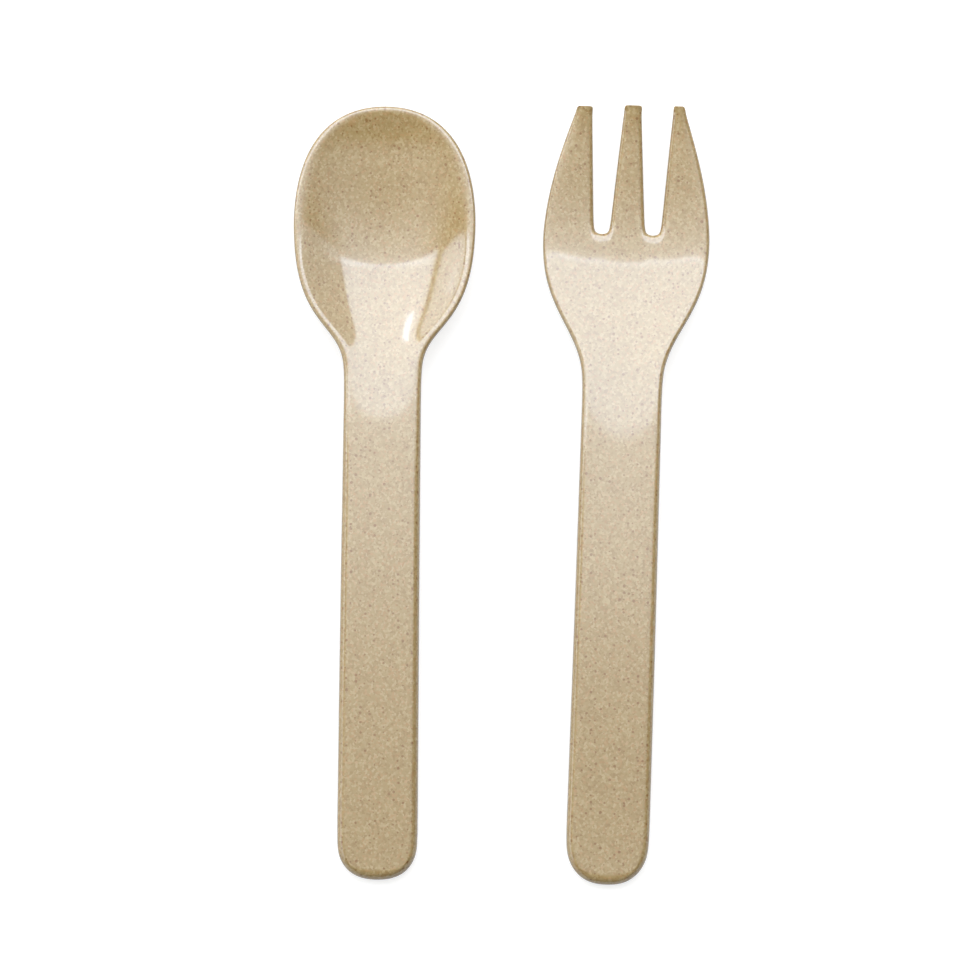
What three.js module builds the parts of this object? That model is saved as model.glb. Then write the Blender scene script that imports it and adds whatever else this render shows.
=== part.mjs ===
// A child's spoon and three-tined fork, each moulded in one piece from speckled plant-fibre plastic.
// Millimetres, +Z up. Each is drawn along +Y from its handle end, lying face up as it comes to rest.

import * as THREE from 'three';

// Spoon from above
const spoonLength = 149;
const spoonEndWidth = 15.6;
const spoonEndRound = 7.5; // length of the rounded handle end
const spoonNeckWidth = 14.9;
const bowlLength = 51.5; // from the tip back to where the neck starts to widen
const bowlWidth = 34.7;
const bowlWidestAt = 23.2; // from the tip
const bowlShoulder = 0.735; // share of the flare along which the bowl keeps its width
const bowlNeckEase = 0.34; // share of the flare along which the neck keeps its width
const bowlTipFullness = 0.64; // 0.55 draws an ellipse, more draws a squarer tip

// Spoon from the side, heights of its upper face
const spoonEndHeight = 3.4;
const spoonEndSlope = 0.11;
const spoonCrestHeight = 8.9;
const spoonCrestAt = 80; // from the tip
const spoonThroatHeight = 8.2; // where the bowl's floor leaves its rim
const spoonThroatSlope = -0.06;
const spoonThroatAt = 56; // from the tip
const bowlFloorHeight = 2.0;
const bowlFloorAt = 30.2; // from the tip
const bowlFrontHeight = 3.7; // on the floor's climb to the tip
const bowlFrontSlope = 0.22;
const bowlFrontAt = 13; // from the tip
const bowlRimHeight = 7.4; // at the widest place
const bowlTipHeight = 7.8;
const bowlTipSlope = 0.75; // how steeply the floor ends at the tip
const bowlRoundness = 2.0; // power of the cross-section, more gives a flatter floor
const spoonHandleThickness = 4.2;
const bowlThickness = 2.2;
const spoonHandleEdge = 1.5; // radius rounding the handle's long edges
const bowlEdge = 0.9; // radius rounding the rim

// Fork from above
const forkLength = 150;
const forkEndWidth = 16.1;
const forkEndRound = 8.6;
const forkNeckWidth = 15.4;
const headLength = 53.8; // from the tips back to where the neck starts to widen
const headWidth = 31.7;
const headWidestAt = 26.7; // from the tips
const headShoulder = 0.495;
const headNeckEase = 0.36;
const tipsWidth = 20.6; // over the outer tines at their tips
const tipsTaper = 0.37; // sideways run of an outer tine's edge for each millimetre at its tip
const slotLength = 25.0;
const slotRootWidth = 3.1;
const slotTipWidth = 6.1;
const slotRootSpacing = 9.9; // between the middles of the two slots
const slotTipSpacing = 9.5;
const middleTineLead = 0.4; // how far the middle tine reaches past the outer two

// Fork from the side, heights of its upper face
const forkEndHeight = 3.4;
const forkEndSlope = 0.09;
const forkCrestHeight = 8.3;
const forkCrestAt = 84; // from the tips
const forkThroatHeight = 6.6; // where the neck drops to the palm
const forkThroatSlope = -0.105;
const forkThroatAt = 51.5; // from the tips
const palmFloorHeight = 2.9;
const palmFloorAt = 29.5; // from the tips
const palmDish = 0.9; // how far the palm's edges stand above its middle
const palmDishAt = 38; // from the tips
const tinesHeight = 4.4; // half way along the tines
const tinesSlope = 0.19;
const tinesAt = 14; // from the tips
const tipsHeight = 7.3;
const tipsSlope = 0.25;
const forkHandleThickness = 4.2;
const palmThickness = 3.1;
const tipsThickness = 2.2;
const forkHandleEdge = 1.5;
const palmEdge = 1.3;
const tipsEdge = 0.7;

// How the two lie beside each other
const handleEndSpacing = 44; // sideways, between the middles of the two handle ends
const forkSetBack = 0.9; // how far the fork's handle end lies behind the spoon's
const spoonLean = 0.64; // degrees each piece is turned clockwise
const forkLean = 1.9;

// Facets
const roundSteps = 3; // in each rounded edge
const spoonColumns = 12;
const bowFade = 6; // rows over which a bowed end row straightens out

const fibrePlastic = new THREE.MeshStandardMaterial({ color: 0xbda883, roughness: 0.3, metalness: 0 });

const blend = THREE.MathUtils.lerp;

// A smooth line through stops of [distance, value, slope], as a function of the distance.
function smoothLine(stops) {
  return (at) => {
    let k = 0;
    while (k < stops.length - 2 && at > stops[k + 1][0]) k += 1;
    const [fromAt, fromValue, fromSlope] = stops[k];
    const [toAt, toValue, toSlope] = stops[k + 1];
    const span = toAt - fromAt;
    const t = THREE.MathUtils.clamp((at - fromAt) / span, 0, 1);
    const rise = t * t * (3 - 2 * t);
    const lift = (t * (1 - t) ** 2 * fromSlope - t * t * (1 - t) * toSlope) * span;
    return blend(fromValue, toValue, rise) + lift;
  };
}

// The point of an outline curve at t, moved inward by the radius that rounds the edge there.
function landPoint(curve, t, edge) {
  const point = curve.getPoint(t);
  const along = curve.getTangent(t);
  const radius = edge(point.y);
  return new THREE.Vector2(point.x - along.y * radius, point.y + along.x * radius);
}

function landPoints(curve, from, to, count, edge) {
  return Array.from({ length: count }, (_, k) => {
    return landPoint(curve, blend(from, to, (k + 1) / count), edge);
  });
}

// Half the width of the flat land at a place along the length, read off its outline points.
function halfWidthLine(points) {
  return (y) => {
    const k = THREE.MathUtils.clamp(points.findIndex((p) => p.y >= y), 1, points.length - 1);
    const above = points[k];
    const below = points[k - 1];
    const t = THREE.MathUtils.clamp((y - below.y) / (above.y - below.y), 0, 1);
    return y > points.at(-1).y ? points.at(-1).x : blend(below.x, above.x, t);
  };
}

// Round handle end, straight sides and the flare into the head, as curves of the right-hand outline.
function handleCurves(endWidth, endRound, neckWidth, neckY, wideWidth, wideY, neckEase, shoulder) {
  const flare = wideY - neckY;
  const end = new THREE.EllipseCurve(0, endRound, endWidth / 2, endRound, -Math.PI / 2, 0);
  const side = new THREE.LineCurve(
    new THREE.Vector2(endWidth / 2, endRound),
    new THREE.Vector2(neckWidth / 2, neckY),
  );
  const widening = new THREE.CubicBezierCurve(
    new THREE.Vector2(neckWidth / 2, neckY),
    new THREE.Vector2(neckWidth / 2, neckY + flare * neckEase),
    new THREE.Vector2(wideWidth / 2, wideY - flare * shoulder),
    new THREE.Vector2(wideWidth / 2, wideY),
  );
  return { end, side, widening };
}

function quadsBetween(count, width, present) {
  const quads = [];
  for (let j = 0; j < count - 1; j += 1) {
    for (let i = 0; i < width - 1; i += 1) {
      const a = j * width + i;
      if (present(i, j)) quads.push([a, a + 1, a + 1 + width, a + width]);
    }
  }
  return quads;
}

// The open border of a sheet of quads, as one loop of point numbers with the sheet on its left.
function borderLoop(quads) {
  const next = new Map();
  const edges = quads.flatMap((q) => q.map((a, k) => [a, q[(k + 1) % 4]]));
  const known = new Set(edges.map(([a, b]) => `${a},${b}`));
  edges.forEach(([a, b]) => {
    if (!known.has(`${b},${a}`)) next.set(a, b);
  });
  const start = next.keys().next().value;
  const loop = [start];
  while (next.get(loop.at(-1)) !== start) loop.push(next.get(loop.at(-1)));
  return loop;
}

// A solid from a sheet of quads in plan: upper face, lower face and a rounded edge all the way round.
function roundedSolid(plan, quads, top, bottom, edge) {
  const used = [...new Set(quads.flat())];
  const loop = borderLoop(quads);
  const corners = [];
  const faces = [];
  const upper = new Map();
  const lower = new Map();
  const addCorner = (x, y, z) => corners.push(x, y, z) / 3 - 1;
  used.forEach((k) => {
    const { x, y } = plan[k];
    upper.set(k, addCorner(x, y, top(x, y)));
    lower.set(k, addCorner(x, y, bottom(x, y)));
  });
  const addQuad = (a, b, c, d) => faces.push(a, b, c, a, c, d);
  quads.forEach(([a, b, c, d]) => {
    addQuad(upper.get(a), upper.get(b), upper.get(c), upper.get(d));
    addQuad(lower.get(d), lower.get(c), lower.get(b), lower.get(a));
  });

  const ribs = loop.map((k, n) => {
    const here = plan[k];
    const before = plan[loop.at(n - 1)];
    const after = plan[loop[(n + 1) % loop.length]];
    const inEdge = here.clone().sub(before).normalize();
    const outEdge = after.clone().sub(here).normalize();
    const out = new THREE.Vector2(inEdge.y + outEdge.y, -inEdge.x - outEdge.x).normalize();
    const radius = edge(here.y);
    const topZ = top(here.x, here.y);
    const bottomZ = bottom(here.x, here.y);
    const drop = Math.min(radius, 0.45 * (topZ - bottomZ));
    const rib = [upper.get(k)];
    for (let step = 1; step <= roundSteps; step += 1) {
      const angle = (step / roundSteps) * (Math.PI / 2);
      const reach = out.clone().multiplyScalar(radius * Math.sin(angle)).add(here);
      rib.push(addCorner(reach.x, reach.y, topZ - drop * (1 - Math.cos(angle))));
    }
    for (let step = roundSteps; step >= 1; step -= 1) {
      const angle = (step / roundSteps) * (Math.PI / 2);
      const reach = out.clone().multiplyScalar(radius * Math.sin(angle)).add(here);
      rib.push(addCorner(reach.x, reach.y, bottomZ + drop * (1 - Math.cos(angle))));
    }
    rib.push(lower.get(k));
    return rib;
  });
  ribs.forEach((rib, n) => {
    const other = ribs[(n + 1) % ribs.length];
    for (let k = 0; k < rib.length - 1; k += 1) {
      addQuad(rib[k + 1], other[k + 1], other[k], rib[k]);
    }
  });

  const geometry = new THREE.BufferGeometry();
  geometry.setAttribute('position', new THREE.Float32BufferAttribute(corners, 3));
  geometry.setIndex(faces);
  geometry.computeVertexNormals();
  return geometry;
}

// How far a row of the handle end bows out from a straight row, as a function of the column.
function endBow(endCurve, edge) {
  const corner = landPoint(endCurve, 0.5, edge);
  return (s) => {
    const point = landPoint(endCurve, 0.5 * Math.abs(s), edge);
    return new THREE.Vector2(Math.sign(s) * point.x - s * corner.x, point.y - corner.y);
  };
}

function spoonGeometry() {
  const neckY = spoonLength - bowlLength;
  const widestY = spoonLength - bowlWidestAt;
  const crestY = spoonLength - spoonCrestAt;
  const floorY = spoonLength - bowlFloorAt;
  const tipLandY = spoonLength - bowlEdge;
  const tipCorner = 0.5;

  const edge = smoothLine([[neckY, spoonHandleEdge, 0], [widestY, bowlEdge, 0]]);
  const { end, side, widening } = handleCurves(
    spoonEndWidth, spoonEndRound, spoonNeckWidth, neckY, bowlWidth, widestY, bowlNeckEase, bowlShoulder,
  );
  const front = new THREE.CubicBezierCurve(
    new THREE.Vector2(bowlWidth / 2, widestY),
    new THREE.Vector2(bowlWidth / 2, blend(widestY, spoonLength, bowlTipFullness)),
    new THREE.Vector2((bowlWidth / 2) * bowlTipFullness, spoonLength),
    new THREE.Vector2(0, spoonLength),
  );

  const handleLine = [
    [0, spoonEndHeight, spoonEndSlope],
    [crestY, spoonCrestHeight, 0],
    [spoonLength - spoonThroatAt, spoonThroatHeight, spoonThroatSlope],
  ];
  const spine = smoothLine([
    ...handleLine,
    [floorY, bowlFloorHeight, 0],
    [spoonLength - bowlFrontAt, bowlFrontHeight, bowlFrontSlope],
    [tipLandY, bowlTipHeight, bowlTipSlope],
  ]);
  const rim = smoothLine([...handleLine, [widestY, bowlRimHeight, 0], [tipLandY, bowlTipHeight, 0]]);
  const thickness = smoothLine([[crestY, spoonHandleThickness, 0], [floorY, bowlThickness, 0]]);
  const halfWidth = halfWidthLine([end, side, widening, front].flatMap((curve) => {
    return landPoints(curve, 0, 1, 60, edge);
  }));

  const top = (x, y) => {
    const share = Math.min(1, Math.abs(x) / Math.max(halfWidth(y), 0.01));
    return blend(spine(y), rim(y), share ** bowlRoundness);
  };
  const bottom = (x, y) => Math.max(0, top(x, y) - thickness(y));

  const sides = [
    landPoint(end, 0.5, edge),
    ...landPoints(end, 0.5, 1, 4, edge),
    ...landPoints(side, 0, 1, 11, edge),
    ...landPoints(widening, 0, 1, 13, edge),
    ...landPoints(front, 0, tipCorner, 7, edge),
  ];
  const bowEnd = endBow(end, edge);
  const bowTip = (s) => {
    const point = landPoint(front, 1 - (1 - tipCorner) * Math.abs(s), edge);
    const corner = sides.at(-1);
    return new THREE.Vector2(Math.sign(s) * point.x - s * corner.x, point.y - corner.y);
  };
  const plan = sides.flatMap((right, j) => {
    const nearEnd = Math.max(0, 1 - j / bowFade) ** 2;
    const nearTip = Math.max(0, 1 - (sides.length - 1 - j) / bowFade) ** 2;
    return Array.from({ length: spoonColumns + 1 }, (_, i) => {
      const s = (2 * i) / spoonColumns - 1;
      const point = new THREE.Vector2(s * right.x, right.y);
      point.addScaledVector(bowEnd(s), nearEnd);
      return point.addScaledVector(bowTip(s), nearTip);
    });
  });
  const quads = quadsBetween(sides.length, spoonColumns + 1, () => true);
  return roundedSolid(plan, quads, top, bottom, edge);
}

function forkGeometry() {
  const neckY = forkLength - headLength;
  const widestY = forkLength - headWidestAt;
  const crestY = forkLength - forkCrestAt;
  const floorY = forkLength - palmFloorAt;
  const outerTipY = forkLength - middleTineLead;
  const slotEndY = forkLength - slotLength + slotRootWidth / 2; // middle of the slots' round ends

  const edge = smoothLine([
    [crestY, forkHandleEdge, 0],
    [floorY, palmEdge, 0],
    [slotEndY, palmEdge, 0],
    [forkLength, tipsEdge, 0],
  ]);
  const { end, side, widening } = handleCurves(
    forkEndWidth, forkEndRound, forkNeckWidth, neckY, headWidth, widestY, headNeckEase, headShoulder,
  );
  const tineRun = (outerTipY - widestY) / 3;
  const tine = new THREE.CubicBezierCurve(
    new THREE.Vector2(headWidth / 2, widestY),
    new THREE.Vector2(headWidth / 2, widestY + tineRun),
    new THREE.Vector2(tipsWidth / 2 + tipsTaper * tineRun, outerTipY - tineRun),
    new THREE.Vector2(tipsWidth / 2, outerTipY),
  );

  const spine = smoothLine([
    [0, forkEndHeight, forkEndSlope],
    [crestY, forkCrestHeight, 0],
    [forkLength - forkThroatAt, forkThroatHeight, forkThroatSlope],
    [floorY, palmFloorHeight, 0],
    [forkLength - tinesAt, tinesHeight, tinesSlope],
    [forkLength, tipsHeight, tipsSlope],
  ]);
  const dish = smoothLine([[crestY, 0, 0], [forkLength - palmDishAt, palmDish, 0], [forkLength, 0, 0]]);
  const thickness = smoothLine([
    [crestY, forkHandleThickness, 0],
    [floorY, palmThickness, 0],
    [forkLength, tipsThickness, 0],
  ]);
  const halfWidth = halfWidthLine([end, side, widening, tine].flatMap((curve) => {
    return landPoints(curve, 0, 1, 60, edge);
  }));
  const top = (x, y) => {
    const share = Math.min(1, Math.abs(x) / Math.max(halfWidth(y), 0.01));
    return spine(y) + dish(y) * share * share;
  };
  const bottom = (x, y) => Math.max(0, top(x, y) - thickness(y));

  // Half of a row from the middle out: half the middle tine, four slot columns, two of the outer tine.
  const tineEdges = (y) => {
    const share = Math.max(0, (y - slotEndY) / (outerTipY - slotEndY));
    const slotMiddle = blend(slotRootSpacing, slotTipSpacing, share) / 2;
    const land = blend(slotRootWidth, slotTipWidth, share) / 2 + edge(y);
    const slotColumns = [0, 1, 2, 3, 4].map((k) => slotMiddle - land * Math.cos((k * Math.PI) / 4));
    return [0, ...slotColumns, (slotColumns.at(-1) + halfWidth(y)) / 2, halfWidth(y)];
  };
  const rootLand = slotRootWidth / 2 + edge(slotEndY);
  const rootBow = [0, 0, 1, 2, 3, 4, 4, 4].map((k) => -rootLand * Math.sin((k * Math.PI) / 4));
  const rootShare = tineEdges(slotEndY).map((x) => x / halfWidth(slotEndY));

  const bodySides = [
    landPoint(end, 0.5, edge),
    ...landPoints(end, 0.5, 1, 4, edge),
    ...landPoints(side, 0, 1, 11, edge),
    ...landPoints(widening, 0, 1, 10, edge),
  ];
  const bowEnd = endBow(end, edge);
  const halfColumns = rootShare.length - 1;
  const bodyRows = bodySides.map((right, j) => {
    const nearEnd = Math.max(0, 1 - j / bowFade) ** 2;
    const nearRoot = Math.max(0, 1 - (bodySides.length - j) / bowFade);
    return rootShare.map((share, c) => {
      const s = blend(c / halfColumns, share, THREE.MathUtils.smoothstep(nearRoot, 0, 1));
      const point = new THREE.Vector2(s * right.x, right.y + rootBow[c] * nearRoot ** 2);
      return point.addScaledVector(bowEnd(s), nearEnd);
    });
  });
  const rootRow = tineEdges(slotEndY).map((x, c) => new THREE.Vector2(x, slotEndY + rootBow[c]));
  const tineSteps = [0.08, 0.2, 0.34, 0.48, 0.62, 0.75, 0.86, 0.94, 1];
  const tineRows = tineSteps.map((u) => {
    return rootShare.map((_, c) => {
      const tipY = c <= 1 ? forkLength : outerTipY;
      const y = blend(slotEndY, tipY - edge(tipY), u);
      return new THREE.Vector2(tineEdges(y)[c], y);
    });
  });

  const halfRows = [...bodyRows, rootRow, ...tineRows];
  const plan = halfRows.flatMap((half) => {
    const left = half.slice(1).reverse().map((p) => new THREE.Vector2(-p.x, p.y));
    return [...left, ...half];
  });
  const width = 2 * halfColumns + 1;
  const inSlot = (i) => {
    const column = Math.abs(i + 0.5 - halfColumns);
    return column > 1 && column < 5;
  };
  const quads = quadsBetween(halfRows.length, width, (i, j) => j < bodyRows.length || !inSlot(i));
  return roundedSolid(plan, quads, top, bottom, edge);
}

const spoon = new THREE.Mesh(spoonGeometry(), fibrePlastic);
spoon.name = 'spoon';
spoon.rotation.z = THREE.MathUtils.degToRad(-spoonLean);

const fork = new THREE.Mesh(forkGeometry(), fibrePlastic);
fork.name = 'fork';
fork.position.set(handleEndSpacing, -forkSetBack, 0);
fork.rotation.z = THREE.MathUtils.degToRad(-forkLean);

// The pair is centred over the origin and stands on Z = 0.
const pair = new THREE.Group();
pair.name = 'cutlery_pair';
pair.add(spoon, fork);
const box = new THREE.Box3().setFromObject(pair, true);
const middle = box.getCenter(new THREE.Vector3());
pair.position.set(-middle.x, -middle.y, -box.min.z);

const object = new THREE.Group();
object.add(pair);

export default object;
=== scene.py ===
import math

import bmesh
import bpy
import numpy as np
from mathutils import Matrix, Vector
from mathutils.geometry import interpolate_bezier


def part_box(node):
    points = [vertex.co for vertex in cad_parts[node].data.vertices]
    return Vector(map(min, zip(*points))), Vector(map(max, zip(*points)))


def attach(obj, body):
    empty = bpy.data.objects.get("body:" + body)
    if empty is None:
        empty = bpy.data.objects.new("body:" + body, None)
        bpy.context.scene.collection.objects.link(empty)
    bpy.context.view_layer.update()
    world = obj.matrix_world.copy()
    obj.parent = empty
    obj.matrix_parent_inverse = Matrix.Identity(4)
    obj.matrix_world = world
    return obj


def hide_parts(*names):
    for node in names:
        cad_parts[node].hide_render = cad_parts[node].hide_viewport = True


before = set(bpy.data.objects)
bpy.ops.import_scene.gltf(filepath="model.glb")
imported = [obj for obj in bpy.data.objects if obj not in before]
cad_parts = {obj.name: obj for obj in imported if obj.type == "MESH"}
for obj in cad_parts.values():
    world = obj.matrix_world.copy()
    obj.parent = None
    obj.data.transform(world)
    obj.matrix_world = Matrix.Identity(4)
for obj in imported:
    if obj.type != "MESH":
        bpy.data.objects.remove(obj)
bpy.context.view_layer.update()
mm = 0.001  # the pieces are drawn in millimetres and scaled to metres at the end


# A smooth line through (distance, value, slope) stops, read off at any distance.
def smoothLine(*stops):
    points = []
    for (fromAt, fromValue, fromSlope), (toAt, toValue, toSlope) in zip(stops, stops[1:]):
        third = (toAt - fromAt) / 3
        points += interpolate_bezier(
            (fromAt, fromValue), (fromAt + third, fromValue + fromSlope * third),
            (toAt - third, toValue - toSlope * third), (toAt, toValue), 41)
    places = [point.x for point in points]
    values = [point.y for point in points]
    return lambda at: float(np.interp(at, places, values))


# Half the width of an outline at a distance along the piece.
def halfWidthOf(outline):
    places = [point.y for point in outline]
    widths = [point.x for point in outline]
    return lambda at: float(np.interp(at, places, widths))


# Place on the blunt handle end, a quarter of a rounded square, at a turn from its middle.
def endPlace(shape, turn):
    across = shape["endWidth"] / 2 * math.sin(turn) ** shape["endBlunt"]
    return Vector((across, shape["endRound"] * (1 - math.cos(turn) ** shape["endBlunt"])))


# Right-hand border of a handle: round end, straight side, then the flare into the head.
def handleBorder(shape, neckAt, wideWidth, wideAt, rows):
    halfNeck = shape["neckWidth"] / 2
    flare = wideAt - neckAt
    turns = [math.radians(45 + 45 * k / rows["end"]) for k in range(rows["end"] + 1)]
    end = [endPlace(shape, turn) for turn in turns]
    side = [end[-1].lerp(Vector((halfNeck, neckAt)), (k + 1) / rows["side"]) for k in range(rows["side"])]
    widening = interpolate_bezier(
        (halfNeck, neckAt), (halfNeck, neckAt + flare * shape["neckEase"]),
        (wideWidth / 2, wideAt - flare * shape["shoulder"]), (wideWidth / 2, wideAt), rows["flare"] + 1)
    return end + side + widening[1:]


# How far the end row bows from a straight row, at a share of the half width, to run round the end.
def endBow(shape, share):
    place = endPlace(shape, math.radians(45 * abs(share)))
    corner = endPlace(shape, math.radians(45))
    return Vector((math.copysign(place.x, share) - share * corner.x, place.y - corner.y))


def fade(row, count):
    return max(0, 1 - row / count) ** 2


tipFinish = {
    "ringShift": 0.75,  # how far the inner ring moves out to a tip that is cut off short, in edge widths
    "endDepth": 0.5,  # mm at the tip that take no rounded edge
    "endCrease": 0.8, "cornerCrease": 0.3,  # how square the smoothing leaves the end and its corners
}


# A flat grid laid on rows of plan points, given an edge, thickened and smoothed, then put where its CAD
# node lies. Whatever lies past squareFrom is cut off short and keeps its corners.
def mouldedPiece(name, rows, isOpen, edge, lean, upperAt, lowerAt, roundAt,
                 squareFrom=math.inf, tipAt=math.inf):
    bm = bmesh.new()
    columnCount, rowCount = len(rows[0]) - 1, len(rows) - 1
    bmesh.ops.create_grid(bm, x_segments=columnCount, y_segments=rowCount, size=1)
    gaps = []
    for face in bm.faces:
        middle = face.calc_center_median()
        if isOpen(int((middle.x + 1) / 2 * columnCount), int((middle.y + 1) / 2 * rowCount)):
            gaps.append(face)
    for vert in bm.verts:
        point = rows[round((vert.co.y + 1) / 2 * rowCount)][round((vert.co.x + 1) / 2 * columnCount)]
        vert.co = (point.x, point.y, 0)
    bmesh.ops.delete(bm, geom=gaps, context="FACES")
    bmesh.ops.inset_region(bm, faces=bm.faces[:], thickness=edge, use_boundary=True, use_even_offset=True)
    onEdge = bm.verts.layers.float.new("onEdge")
    for vert in bm.verts:
        isTip = vert.co.y > squareFrom
        vert[onEdge] = vert.is_boundary and not (isTip and vert.co.y >= tipAt - tipFinish["endDepth"])
        if isTip and not vert.is_boundary:
            vert.co.y += edge * tipFinish["ringShift"]
    sheet = bm.verts[:]
    lifted = bmesh.ops.extrude_face_region(bm, geom=bm.faces[:])
    for vert in lifted["geom"]:
        if isinstance(vert, bmesh.types.BMVert):
            vert.co.z = upperAt(vert.co.x, vert.co.y) - roundAt(vert.co.y) * vert[onEdge]
    for vert in sheet:
        vert.co.z = lowerAt(vert.co.x, vert.co.y) + roundAt(vert.co.y) * vert[onEdge]
    bmesh.ops.recalc_face_normals(bm, faces=bm.faces[:])

    crease = bm.edges.layers.float.new("crease_edge")
    for border in bm.edges:
        first, second = (vert.co for vert in border.verts)
        isUpright = abs(first.z - second.z) > 1
        if min(first.y, second.y) > squareFrom and border.calc_face_angle() > 1:
            border[crease] = tipFinish["cornerCrease"] if isUpright else tipFinish["endCrease"]

    # turned and moved so that its box and the CAD node's box share a middle
    turn = Matrix.Rotation(math.radians(-lean), 3, "Z")
    bmesh.ops.rotate(bm, verts=bm.verts[:], cent=(0, 0, 0), matrix=turn)
    bmesh.ops.scale(bm, verts=bm.verts[:], vec=(mm, mm, mm))
    low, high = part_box(name)
    middleX = (max(vert.co.x for vert in bm.verts) + min(vert.co.x for vert in bm.verts)) / 2
    middleY = (max(vert.co.y for vert in bm.verts) + min(vert.co.y for vert in bm.verts)) / 2
    shift = ((low.x + high.x) / 2 - middleX, (low.y + high.y) / 2 - middleY, low.z)
    bmesh.ops.translate(bm, verts=bm.verts[:], vec=shift)
    for face in bm.faces:
        face.smooth = True

    mesh = bpy.data.meshes.new(name + "_moulding")
    bm.to_mesh(mesh)
    bm.free()
    piece = bpy.data.objects.new(name + "_moulding", mesh)
    bpy.context.collection.objects.link(piece)
    smoothing = piece.modifiers.new("smooth", "SUBSURF")
    smoothing.levels = 3
    smoothing.render_levels = 3
    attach(piece, "root")
    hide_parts(name)
    print(name, "cage faces:", len(mesh.polygons))
    return piece


spoonShape = {
    "length": 149.1,  # handle end to tip
    "endWidth": 15.6, "endRound": 7.5, "endBlunt": 0.86,  # handle end, fully round at 1
    "neckWidth": 14.9,
    "bowlLength": 51.5, "bowlWidth": 35.4, "widestAt": 23.2,  # measured back from the tip
    "neckEase": 0.34, "shoulder": 0.735, "tipFullness": 0.64,
    "endHeight": 3.4, "endSlope": 0.11,  # heights of the upper face along the middle
    "crestHeight": 8.9, "crestAt": 80.0,
    "throatHeight": 8.25, "throatSlope": -0.055, "throatAt": 56.0,  # where the floor leaves the rim
    "floorHeight": 2.0, "floorAt": 29.8,
    "frontHeight": 4.3, "frontSlope": 0.22, "frontAt": 13.0,  # half way up to the tip
    "rimHeight": 7.4, "tipHeight": 7.8, "tipSlope": 0.75,
    "handleThickness": 4.2, "bowlThickness": 2.2,
    "edge": 1.1, "handleRound": 0.9, "rimRound": 0.2,  # width of the rounded edge and how far it drops
    "lean": 0.64,  # degrees clockwise
    "rows": {"end": 3, "side": 11, "flare": 8, "front": 4},
}


def makeSpoon(shape):
    length, halfBowl = shape["length"], shape["bowlWidth"] / 2
    neckAt, wideAt = length - shape["bowlLength"], length - shape["widestAt"]
    crestAt, floorAt = length - shape["crestAt"], length - shape["floorAt"]
    tipAt = length - shape["edge"]

    border = handleBorder(shape, neckAt, shape["bowlWidth"], wideAt, shape["rows"])
    frontRows = shape["rows"]["front"]
    reach = shape["widestAt"] * shape["tipFullness"]
    front = interpolate_bezier(
        (halfBowl, wideAt), (halfBowl, wideAt + reach),
        (halfBowl * shape["tipFullness"], length), (0, length), 2 * frontRows + 1)
    border += front[1:frontRows + 1]
    tipRow = front[:frontRows - 1:-1]  # from the middle of the tip out to its corner

    rows = []
    for k, right in enumerate(border):
        row = []
        for column in range(-frontRows, frontRows + 1):
            share = column / frontRows
            point = Vector((share * right.x, right.y)) + endBow(shape, share) * fade(k, 5)
            tip = tipRow[abs(column)]
            bow = Vector((math.copysign(tip.x, share) - share * tipRow[-1].x, tip.y - tipRow[-1].y))
            row.append(point + bow * fade(len(border) - 1 - k, 5))
        rows.append(row)

    handle = [
        (0, shape["endHeight"], shape["endSlope"]), (crestAt, shape["crestHeight"], 0),
        (length - shape["throatAt"], shape["throatHeight"], shape["throatSlope"])]
    middleLine = smoothLine(
        *handle, (floorAt, shape["floorHeight"], 0),
        (length - shape["frontAt"], shape["frontHeight"], shape["frontSlope"]),
        (tipAt, shape["tipHeight"], shape["tipSlope"]))
    rimLine = smoothLine(*handle, (wideAt, shape["rimHeight"], 0), (tipAt, shape["tipHeight"], 0))
    thickness = smoothLine((crestAt, shape["handleThickness"], 0), (floorAt, shape["bowlThickness"], 0))
    roundAt = smoothLine((crestAt, shape["handleRound"], 0), (floorAt, shape["rimRound"], 0))
    halfWidth = halfWidthOf([Vector((0, 0))] + border + tipRow[::-1])

    def upperAt(x, y):
        share = min(1, abs(x) / max(halfWidth(y) - shape["edge"], 0.01))
        return middleLine(y) + (rimLine(y) - middleLine(y)) * share ** 2

    def lowerAt(x, y):
        return max(0, upperAt(x, y) - thickness(y))

    def isOpen(column, row):
        return False  # the bowl has no slots

    return mouldedPiece(
        "spoon", rows, isOpen, shape["edge"], shape["lean"], upperAt, lowerAt, roundAt)


forkShape = {
    "length": 150.1,  # handle end to the middle tine's tip
    "endWidth": 16.1, "endRound": 8.6, "endBlunt": 0.86,
    "neckWidth": 15.4,
    "headLength": 53.8, "headWidth": 32.5, "widestAt": 26.7,  # measured back from the tips
    "neckEase": 0.36, "shoulder": 0.495,
    "tipsWidth": 20.6, "tipsTaper": 0.37, "tineLead": 0.4,  # the middle tine leads the outer ones
    "tipsDepth": 2.0,  # part of the tines that counts as their tips
    "slotLength": 24.5, "slotRoot": 3.1, "slotTip": 6.1,
    "rootSpacing": 9.9, "tipSpacing": 9.5,  # between the middles of the two slots
    "rootDrift": 0.15, "tipDrift": 0.45,  # slots sit a little to the right
    "rightReach": 0.5,  # and the right tine is a little longer
    "endHeight": 3.4, "endSlope": 0.088,  # heights of the upper face along the middle
    "crestHeight": 8.5, "crestAt": 89.0,
    "throatHeight": 6.6, "throatSlope": -0.107, "throatAt": 51.5,  # where the neck drops to the palm
    "floorHeight": 2.9, "floorAt": 29.2,
    "dish": 0.9, "dishAt": 38.0,  # how far the palm's sides stand above its middle
    "frontHeight": 4.4, "frontSlope": 0.19, "frontAt": 14.0,  # half way along the tines
    "tipsHeight": 7.4, "tipsSlope": 0.32,
    "handleThickness": 4.2, "palmThickness": 3.1, "tipsThickness": 2.2,
    "edge": 1.0, "handleRound": 0.9, "tineRound": 0.4,
    "lean": 1.9,
    "rows": {"end": 3, "side": 11, "flare": 8, "tine": 7},
}


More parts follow.
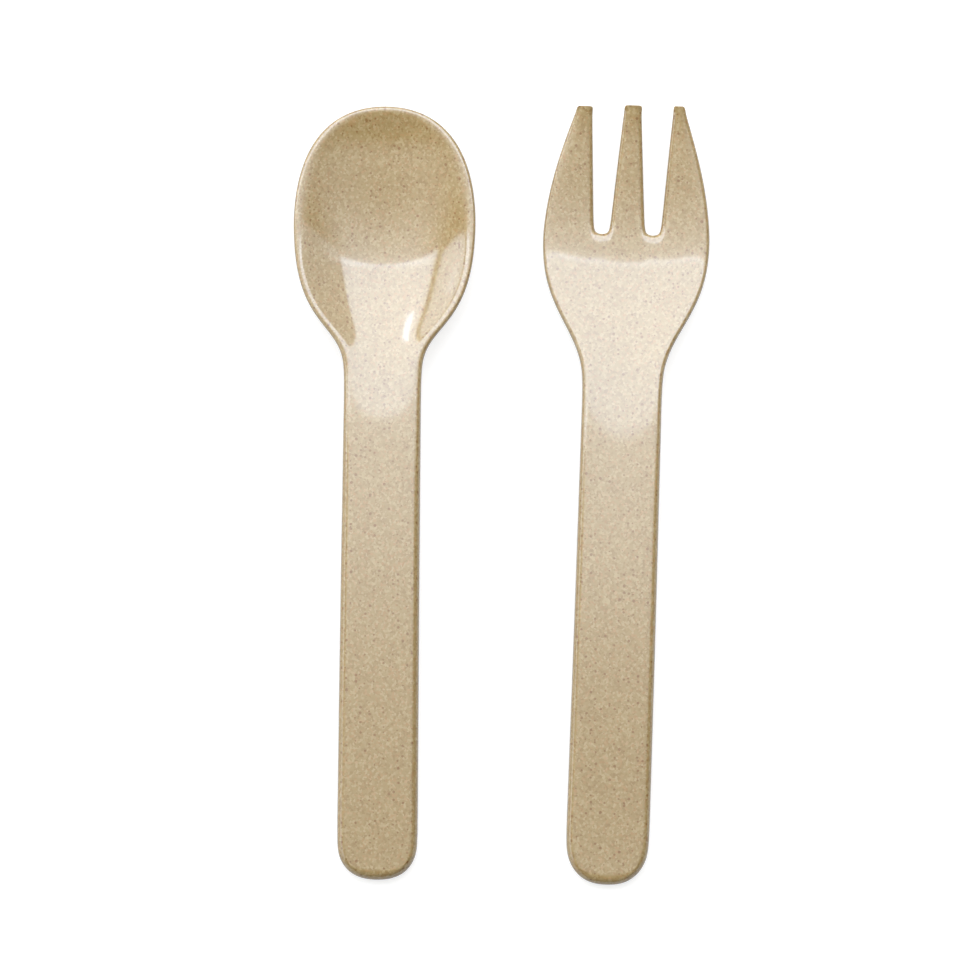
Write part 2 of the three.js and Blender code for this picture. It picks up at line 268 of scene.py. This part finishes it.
def makeFork(shape):
    length, halfHead = shape["length"], shape["headWidth"] / 2
    neckAt, wideAt = length - shape["headLength"], length - shape["widestAt"]
    crestAt, floorAt = length - shape["crestAt"], length - shape["floorAt"]
    outerTipAt = length - shape["tineLead"]
    rootRadius = shape["slotRoot"] / 2
    rootAt = length - shape["slotLength"] + rootRadius  # middle of the slots' round ends

    border = handleBorder(shape, neckAt, shape["headWidth"], wideAt, shape["rows"])
    third = (outerTipAt - wideAt) / 3
    tine = interpolate_bezier(
        (halfHead, wideAt), (halfHead, wideAt + third),
        (shape["tipsWidth"] / 2 + shape["tipsTaper"] * third, outerTipAt - third),
        (shape["tipsWidth"] / 2, outerTipAt), 25)
    halfWidth = halfWidthOf([Vector((0, 0))] + border + tine[1:])

    # half a row in the head, from the middle out: middle tine, four columns of slot, outer tine
    def headColumns(y):
        share = max(0, (y - rootAt) / (outerTipAt - rootAt))
        halfSlot = (shape["slotRoot"] + (shape["slotTip"] - shape["slotRoot"]) * share) / 2
        spacing = shape["rootSpacing"] + (shape["tipSpacing"] - shape["rootSpacing"]) * share
        slot = [spacing / 2 + halfSlot * side for side in (-1, -0.8, 0, 0.8, 1)]
        return [0] + slot + [(slot[-1] + halfWidth(y)) / 2, halfWidth(y)]

    rootBow = [0, 0, -rootRadius * 0.85, -rootRadius, -rootRadius * 0.85, 0, 0, 0]
    rootShares = [x / halfWidth(rootAt) for x in headColumns(rootAt)]
    handleShares = [0, 0.1, 0.21, 0.32, 0.43, 0.55, 0.72, 1]
    halfRows = []
    for k, right in enumerate(border):
        nearRoot = max(0, 1 - (len(border) - k) / 7)
        row = []
        for column in range(8):
            ease = nearRoot * nearRoot * (3 - 2 * nearRoot)
            share = handleShares[column] + (rootShares[column] - handleShares[column]) * ease
            point = Vector((share * right.x, right.y + rootBow[column] * nearRoot ** 2))
            row.append(point + endBow(shape, share) * fade(k, 5))
        halfRows.append(row)
    halfRows.append([Vector((x, rootAt + bow)) for x, bow in zip(headColumns(rootAt), rootBow)])
    steps = shape["rows"]["tine"]
    for k in range(steps):
        along = 1 - (1 - (k + 1) / steps) ** 1.5  # rows draw together towards the tips
        row = []
        for column in range(8):
            tipAt = length if column < 2 else outerTipAt
            y = rootAt + (tipAt - rootAt) * along
            row.append(Vector((headColumns(y)[column], y)))
        halfRows.append(row)
    rows = [[Vector((-p.x, p.y)) for p in half[:0:-1]] + half for half in halfRows]
    for k, row in enumerate(rows[len(border):]):
        for point in row[2:-2]:
            point.x += shape["rootDrift"] + (shape["tipDrift"] - shape["rootDrift"]) * k / steps
        for point in row[-3:]:
            point.y += shape["rightReach"] * (k / steps) ** 2

    middleLine = smoothLine(
        (0, shape["endHeight"], shape["endSlope"]), (crestAt, shape["crestHeight"], 0),
        (length - shape["throatAt"], shape["throatHeight"], shape["throatSlope"]),
        (floorAt, shape["floorHeight"], 0),
        (length - shape["frontAt"], shape["frontHeight"], shape["frontSlope"]),
        (length, shape["tipsHeight"], shape["tipsSlope"]))
    dishLine = smoothLine((crestAt, 0, 0), (length - shape["dishAt"], shape["dish"], 0), (length, 0, 0))
    thickness = smoothLine(
        (crestAt, shape["handleThickness"], 0), (floorAt, shape["palmThickness"], 0),
        (length, shape["tipsThickness"], 0))
    roundAt = smoothLine((crestAt, shape["handleRound"], 0), (floorAt, shape["tineRound"], 0))

    def upperAt(x, y):
        share = min(1, abs(x) / max(halfWidth(y) - shape["edge"], 0.01))
        return middleLine(y) + dishLine(y) * share ** 2

    def lowerAt(x, y):
        return max(0, upperAt(x, y) - thickness(y))

    def inSlot(column, row):
        return row >= len(border) and 1 < abs(column + 0.5 - 7) < 5

    return mouldedPiece(
        "fork", rows, inSlot, shape["edge"], shape["lean"], upperAt, lowerAt, roundAt,
        squareFrom=length - shape["tipsDepth"], tipAt=length)


spoonPiece = makeSpoon(spoonShape)
forkPiece = makeFork(forkShape)


# sRGB hex to the linear colour that the sockets take
def hexColour(code):
    parts = [int(code[k:k + 2], 16) / 255 for k in (1, 3, 5)]
    return tuple(c / 12.92 if c <= 0.04045 else ((c + 0.055) / 1.055) ** 2.4 for c in parts) + (1.0,)


# Adds one node; an input takes a number, a colour or another node's output.
def addNode(nodes, kind, inputs, **settings):
    node = nodes.new(kind)
    for name, value in settings.items():
        setattr(node, name, value)
    for name, value in inputs.items():
        if isinstance(value, bpy.types.NodeSocket):
            node.id_data.links.new(value, node.inputs[name])
        else:
            node.inputs[name].default_value = value
    return node


plasticLook = {
    "body": "#AE8F5B",
    "pale": "#CBAF7D",  # pale fibre flakes
    "dark": "#86582C",  # brown bran, as flakes and as specks
    "rust": "#BC8A58",  # reddish husk
    "flakeSize": 0.4, "speckSpacing": 0.9,  # mm
    "paleShare": 0.5, "darkShare": 0.36, "rustShare": 0.5,  # how strongly the flakes take their colour
    "speckShare": 0.68,
}


# Plant-fibre filled moulding plastic, moulded in a polished tool: an even gloss over a beige body in which
# ground fibre shows as pale, brown and reddish flakes and scattered dark specks.
def mouldedFibrePlastic(look):
    material = bpy.data.materials.new("mouldedFibrePlastic")
    material.use_nodes = True
    nodes = material.node_tree.nodes
    nodes.clear()
    place = addNode(nodes, "ShaderNodeTexCoord", {}).outputs["Object"]

    # ground fibre: each flake has its own shade, from pale to brown, and some are reddish
    flakes = addNode(nodes, "ShaderNodeTexVoronoi", {"Vector": place, "Scale": 1 / (look["flakeSize"] * mm)})
    shade = addNode(nodes, "ShaderNodeSeparateColor", {"Color": flakes.outputs["Color"]})
    paleFlakes = addNode(nodes, "ShaderNodeMapRange", {
        "Value": shade.outputs["Green"], "From Min": 0.6, "From Max": 1.0, "To Max": look["paleShare"]})
    darkFlakes = addNode(nodes, "ShaderNodeMapRange", {
        "Value": shade.outputs["Green"], "From Min": 0.4, "From Max": 0.0, "To Max": look["darkShare"]})
    rustFlakes = addNode(nodes, "ShaderNodeMapRange", {
        "Value": shade.outputs["Blue"], "From Min": 0.75, "From Max": 1.0, "To Max": look["rustShare"]})
    grain = addNode(nodes, "ShaderNodeMix", {
        0: paleFlakes.outputs["Result"], 6: hexColour(look["body"]), 7: hexColour(look["pale"])},
        data_type="RGBA")
    grain = addNode(nodes, "ShaderNodeMix", {
        0: darkFlakes.outputs["Result"], 6: grain.outputs[2], 7: hexColour(look["dark"])}, data_type="RGBA")
    grain = addNode(nodes, "ShaderNodeMix", {
        0: rustFlakes.outputs["Result"], 6: grain.outputs[2], 7: hexColour(look["rust"])}, data_type="RGBA")

    # bran specks up to 0.6 mm across, each of its own size
    specks = addNode(nodes, "ShaderNodeTexVoronoi", {
        "Vector": place, "Scale": 1 / (look["speckSpacing"] * mm)})
    speckSize = addNode(nodes, "ShaderNodeSeparateColor", {"Color": specks.outputs["Color"]})
    reach = addNode(nodes, "ShaderNodeMapRange", {
        "Value": speckSize.outputs["Red"], "From Min": 0.25, "From Max": 1.0, "To Min": 0.0, "To Max": 0.38})
    depth = addNode(nodes, "ShaderNodeMath", {
        0: reach.outputs["Result"], 1: specks.outputs["Distance"]}, operation="SUBTRACT")
    inside = addNode(nodes, "ShaderNodeMapRange", {
        "Value": depth.outputs[0], "From Min": 0.0, "From Max": 0.1, "To Max": look["speckShare"]})
    colour = addNode(nodes, "ShaderNodeMix", {
        0: inside.outputs["Result"], 6: grain.outputs[2], 7: hexColour(look["dark"])}, data_type="RGBA")

    shader = addNode(nodes, "ShaderNodeBsdfPrincipled", {
        "Base Color": colour.outputs[2], "Roughness": 0.14, "IOR": 1.6,
        "Coat Weight": 1.0, "Coat Roughness": 0.08, "Coat IOR": 1.55})
    addNode(nodes, "ShaderNodeOutputMaterial", {"Surface": shader.outputs[0]})
    return material


plastic = mouldedFibrePlastic(plasticLook)
for piece in (spoonPiece, forkPiece):
    piece.data.materials.append(plastic)
print("material on both pieces")


studio = {
    "lampColour": (0.88, 1.0, 1.19),  # daylight tubes, a little cool
    "ambient": 0.07,  # light from all round
    "glow": 2.35,  # brightness of the ceiling over the handles, next to the big softbox
    "tableColour": (0.48, 0.43, 0.36),
    "tableLift": 0.7, "tableMirrored": 0.15,  # what lifts the table to white, for the eye and for reflections
    "cameraDistance": 0.9, "cameraTilt": 4.0, "aim": (-0.0042, 0.003), "frameWidth": 0.1857,
}
# place of the middle, size, what it turns to, brightness (1 is white)
softboxes = {
    "overheadSoftbox": ((-0.158, 1.098, 1.2), (2.03, 1.672), (-0.158, 1.098, 0.0), 3.85),
    "sideSoftbox": ((-2.13, 1.31, 1.2), (1.59, 2.0), (-2.13, 1.31, 0.0), 2.65),
    "rightReflector": ((1.4, 1.15, 1.2), (1.0, 1.9), (1.4, 1.15, 0.0), 1.1),
    "bulb": ((-0.765, 1.395, 1.19), (0.22, 0.36), (-0.765, 1.395, 0.0), 4.6),
    "leftWall": ((-1.5, 0.0, 0.48), (1.8, 0.8), (0.0, 0.0, 0.0), 1.5),
}


def addSoftbox(name, colour, place, size, target, brightness):
    lamp = bpy.data.lights.new(name, "AREA")
    lamp.shape = "RECTANGLE"
    lamp.color = colour
    lamp.size, lamp.size_y = size
    lamp.energy = brightness * math.pi * size[0] * size[1]
    softbox = bpy.data.objects.new(name, lamp)
    facing = (Vector(target) - Vector(place)).to_track_quat("-Z", "Y").to_matrix()
    softbox.matrix_world = Matrix.Translation(place) @ facing.to_4x4()
    bpy.context.collection.objects.link(softbox)


# White table: its own colour where it is lit, lifted to white for the eye, so only the contact shadow stays.
def whiteTable(look):
    material = bpy.data.materials.new("whiteTable")
    material.use_nodes = True
    nodes = material.node_tree.nodes
    nodes.clear()
    rays = addNode(nodes, "ShaderNodeLightPath", {})
    seen = addNode(nodes, "ShaderNodeMath", {
        0: rays.outputs["Is Camera Ray"], 1: rays.outputs["Is Transmission Ray"]}, operation="MAXIMUM")
    mirrored = addNode(nodes, "ShaderNodeMath", {
        0: rays.outputs["Is Glossy Ray"], 1: look["tableMirrored"]}, operation="MULTIPLY")
    lift = addNode(nodes, "ShaderNodeMath", {
        0: seen.outputs[0], 1: look["tableLift"], 2: mirrored.outputs[0]}, operation="MULTIPLY_ADD")
    lit = addNode(nodes, "ShaderNodeBsdfDiffuse", {"Color": (*look["tableColour"], 1)})
    glow = addNode(nodes, "ShaderNodeEmission", {"Color": (1, 1, 1, 1), "Strength": lift.outputs[0]})
    both = addNode(nodes, "ShaderNodeAddShader", {0: lit.outputs[0], 1: glow.outputs[0]})
    addNode(nodes, "ShaderNodeOutputMaterial", {"Surface": both.outputs[0]})
    return material


# Pale room, white to the eye, with a ceiling that glows overhead and fades towards the front.
def studioWorld(look):
    world = bpy.data.worlds.new("studioWorld")
    world.use_nodes = True
    nodes = world.node_tree.nodes
    nodes.clear()
    rays = addNode(nodes, "ShaderNodeLightPath", {})
    seen = addNode(nodes, "ShaderNodeMath", {
        0: rays.outputs["Is Camera Ray"], 1: rays.outputs["Is Transmission Ray"]}, operation="MAXIMUM")
    room = addNode(nodes, "ShaderNodeMapRange", {
        "Value": seen.outputs[0], "To Min": look["ambient"], "To Max": 1.0})
    way = addNode(nodes, "ShaderNodeTexCoord", {})
    way = addNode(nodes, "ShaderNodeSeparateXYZ", {"Vector": way.outputs["Generated"]})

    # the glow rises from front to back, stops where the big softbox begins and stays overhead
    rise = addNode(nodes, "ShaderNodeMapRange", {
        "Value": way.outputs["Y"], "From Min": -0.4, "From Max": 0.2, "To Max": look["glow"]})
    stop = addNode(nodes, "ShaderNodeMapRange", {
        "Value": way.outputs["Y"], "From Min": 0.185, "From Max": 0.215, "To Min": 1.0, "To Max": 0.0},
        interpolation_type="SMOOTHSTEP")
    overhead = addNode(nodes, "ShaderNodeMapRange", {
        "Value": way.outputs["Z"], "From Min": 0.6, "From Max": 0.95}, interpolation_type="SMOOTHSTEP")
    glow = addNode(nodes, "ShaderNodeMath", {
        0: rise.outputs["Result"], 1: stop.outputs["Result"]}, operation="MULTIPLY")
    strength = addNode(nodes, "ShaderNodeMath", {
        0: glow.outputs[0], 1: overhead.outputs["Result"], 2: room.outputs["Result"]},
        operation="MULTIPLY_ADD")
    tint = addNode(nodes, "ShaderNodeMix", {
        0: seen.outputs[0], 6: (*look["lampColour"], 1), 7: (1, 1, 1, 1)}, data_type="RGBA")
    sky = addNode(nodes, "ShaderNodeBackground", {"Color": tint.outputs[2], "Strength": strength.outputs[0]})
    addNode(nodes, "ShaderNodeOutputWorld", {"Surface": sky.outputs[0]})
    return world


def makeStudio(look):
    bm = bmesh.new()
    bmesh.ops.create_grid(bm, x_segments=1, y_segments=1, size=1.5)
    mesh = bpy.data.meshes.new("table")
    bm.to_mesh(mesh)
    bm.free()
    mesh.materials.append(whiteTable(look))
    table = bpy.data.objects.new("table", mesh)
    table.location.z = -0.1 * mm  # just clear of the faces that rest on it
    bpy.context.collection.objects.link(table)
    bpy.context.scene.world = studioWorld(look)

    for name, settings in softboxes.items():
        addSoftbox(name, look["lampColour"], *settings)

    lens = bpy.data.cameras.new("camera")
    lens.sensor_width = 36
    distance = look["cameraDistance"]
    lens.lens = lens.sensor_width * distance / look["frameWidth"]
    camera = bpy.data.objects.new("camera", lens)
    tilt = math.radians(look["cameraTilt"])
    aimX, aimY = look["aim"]
    camera.location = (aimX, aimY - distance * math.sin(tilt), distance * math.cos(tilt))
    camera.rotation_euler = (tilt, 0, 0)
    bpy.context.collection.objects.link(camera)
    bpy.context.scene.camera = camera
    bpy.context.scene.view_settings.view_transform = "Standard"


makeStudio(studio)
print("table, light and camera set")
